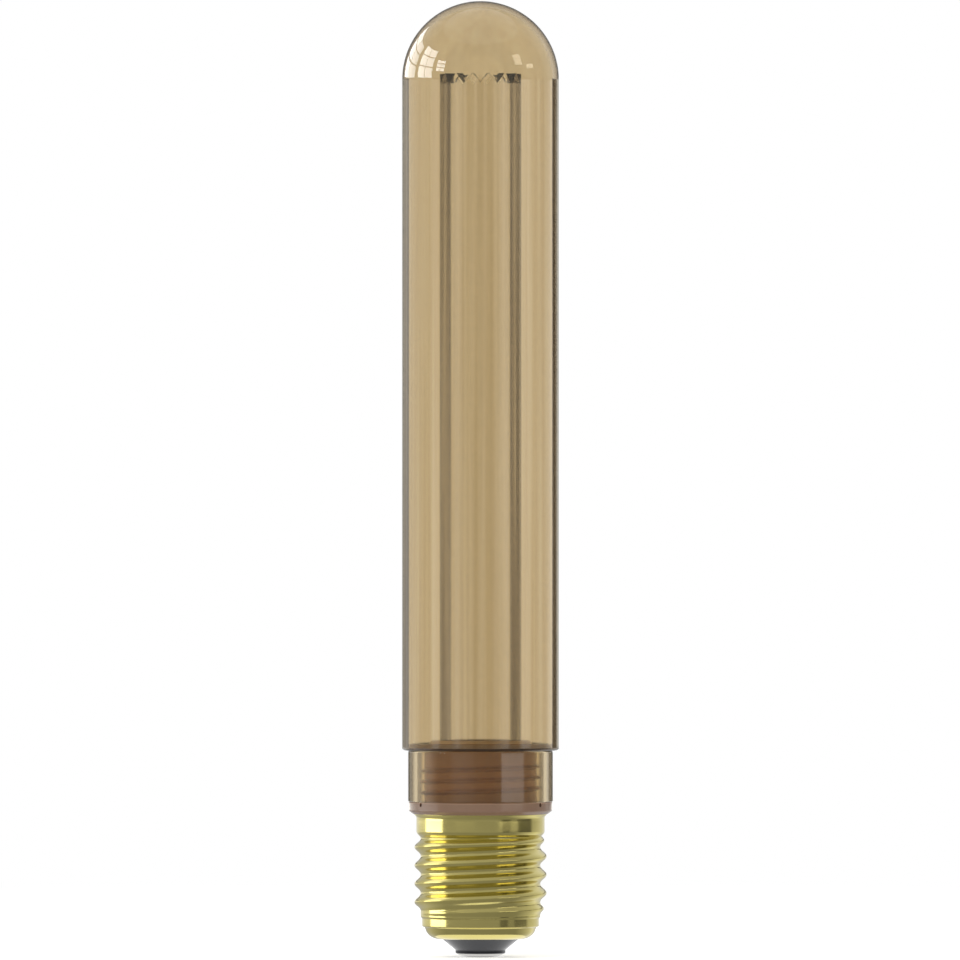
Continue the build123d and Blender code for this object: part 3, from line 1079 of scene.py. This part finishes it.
def make_cards():
    """What the cap, flange, collar, glass and contact each reflect, all round the lamp."""
    cap = [
        (-180, 0.90), (-113, 0.85), (-111, 3.4), (-71, 3.4), (-69, 0.42), (36, 0.38),
        (39, 0.12), (52, 0.12), (55, 0.32), (66, 0.32), (69, 0.12), (98, 0.12),
        (104, 0.55), (130, 0.75), (140, 0.80), (180, 0.90),
    ]
    flange = [
        (-180, 2.6), (-128, 2.4), (-100, 1.2), (-70, 0.55), (20, 0.35), (110, 0.30),
        (140, 0.55), (180, 2.6),
    ]
    collar = [
        (-180, 0.03), (-152, 0.05), (-146, 0.35), (-120, 0.40), (-108, 1.10), (-84, 1.20),
        (-70, 0.35), (-48, 0.30), (-40, 0.75), (-14, 0.60), (-6, 0.25), (31, 0.30),
        (33, 2.30), (68, 1.90), (72, 0.25), (122, 0.35), (126, 0.90), (134, 0.90),
        (138, 0.05), (180, 0.03),
    ]
    tube = [
        (-180, 0.40), (-160, 0.20), (-148, 0.35), (-139, 1.25), (-128, 0.60), (-112, 0.85),
        (-98, 0.55), (-80, 0.45), (-72, 1.90), (-66, 1.90), (-60, 0.40), (-44, 0.40),
        (-36, 1.70), (-32, 1.40), (-26, 0.45), (-8, 0.15), (10, 0.20), (22, 0.45),
        (33, 1.60), (40, 1.80), (44, 0.35), (58, 0.35), (64, 2.20), (76, 1.90),
        (82, 0.60), (100, 0.80), (106, 0.45), (130, 1.40), (134, 0.05), (152, 0.05),
        (156, 0.70), (180, 0.40),
    ]
    room = [
        (-180, 0.14), (-150, 0.16), (-135, 0.42), (135, 0.42), (150, 0.16), (180, 0.14),
    ]
    shade = [
        (-180, 0.50), (-120, 0.60), (-105, 1.50), (-78, 1.50), (-66, 0.60), (-30, 0.52),
        (40, 0.48), (60, 0.40), (100, 0.60), (140, 0.90), (180, 0.50),
    ]
    table = [
        (-180, 0.45), (-110, 0.60), (-60, 0.34), (30, 0.30), (60, 0.30), (90, 0.60),
        (120, 1.00), (150, 0.70), (180, 0.45),
    ]
    card_ring("cap_card", cap, ((near_r, card_low_z), (near_r, cap_line)), white)
    card_ring("flange_card", flange, ((near_r, cap_line), (near_r, flange_line)), cream)
    card_ring("collar_card", collar, ((near_r, flange_line), (near_r, collar_line)), cream)
    card_ring("shade_card", shade, (shade_inner, (near_r, shade_outer_z)), white)
    card_ring("tube_card", tube, ((middle_r, card_low_z), (middle_r, tube_line)), cream)
    card_ring("room_card", room, ((far_r, room_low), (far_r, room_top)), white)
    card_ring("table_card", table, ((table_inner_r, table_z), (middle_r, table_z)), white)
    card_disc("foot_card", table_inner_r, table_z, 1.2)
    card_disc("ceiling_card", far_r, room_top, 0.75)


def make_windows():
    """Three windows of two by three panes at the left, and two warm patches at the right."""
    windows = [
        ((-150, -114), (0.27, 1.40), 4.5),
        ((-106, -77), (0.27, 1.62), 9.0),
        ((-70, -56), (0.55, 1.15), 11.0),
    ]
    for i, (azimuths, (low, high), strength) in enumerate(windows):
        step = (high - low) / 3
        split = (azimuths[0] + azimuths[1]) / 2
        left = (azimuths[0], split - pane_gap / 2)
        right = (split + pane_gap / 2, azimuths[1])
        for row in range(3):
            heights = (low + row * step, low + (row + 1) * step - pane_bar)
            window_pane(f"window_{i}_{row}_left", left, heights, strength)
            window_pane(f"window_{i}_{row}_right", right, heights, strength)
    window_pane("warm_pane_high", (54, 67), (0.88, 1.50), 5.5, warm)
    window_pane("warm_pane_low", (74, 87), (0.66, 0.86), 5.5, warm)


def make_lamp(name, place, size, power, colour=white):
    """A soft area light that points at the lamp's middle and shows in no reflection."""
    light = bpy.data.lights.new(name, "AREA")
    light.size = size
    light.energy = power
    light.color = colour
    lamp = bpy.data.objects.new(name, light)
    lamp.location = place
    to_middle = Vector(lamp_middle) - lamp.location
    lamp.rotation_euler = to_middle.to_track_quat("-Z", "Y").to_euler()
    bpy.context.scene.collection.objects.link(lamp)
    lamp.visible_glossy = False
    lamp.visible_transmission = False


def make_camera():
    """A level view from far off, at the photograph's scale."""
    data = bpy.data.cameras.new("camera")
    data.sensor_width = camera_sensor
    data.lens = camera_sensor * camera_distance / (photo_width * photo_pixel * MM)
    data.clip_end = camera_reach
    camera = bpy.data.objects.new("camera", data)
    camera.location = (camera_aside, -camera_distance, camera_height)
    camera.rotation_euler = (math.radians(90), 0, 0)
    bpy.context.scene.collection.objects.link(camera)
    bpy.context.scene.camera = camera


def studio():
    make_floor()
    make_world()
    make_cards()
    make_windows()
    make_lamp("key_lamp", (-1.6, -1.2, 1.6), 1.4, 26)
    make_lamp("fill_lamp", (1.8, -1.4, 1.2), 1.6, 16, (1, 0.97, 0.93))
    make_lamp("back_lamp", (0.4, 2.0, 1.8), 1.6, 14)
    make_camera()
    settings = bpy.context.scene
    settings.view_settings.view_transform = "Standard"
    settings.cycles.max_bounces = 24
    settings.cycles.transmission_bounces = 20
    settings.cycles.glossy_bounces = 8


build_lamp()
studio()
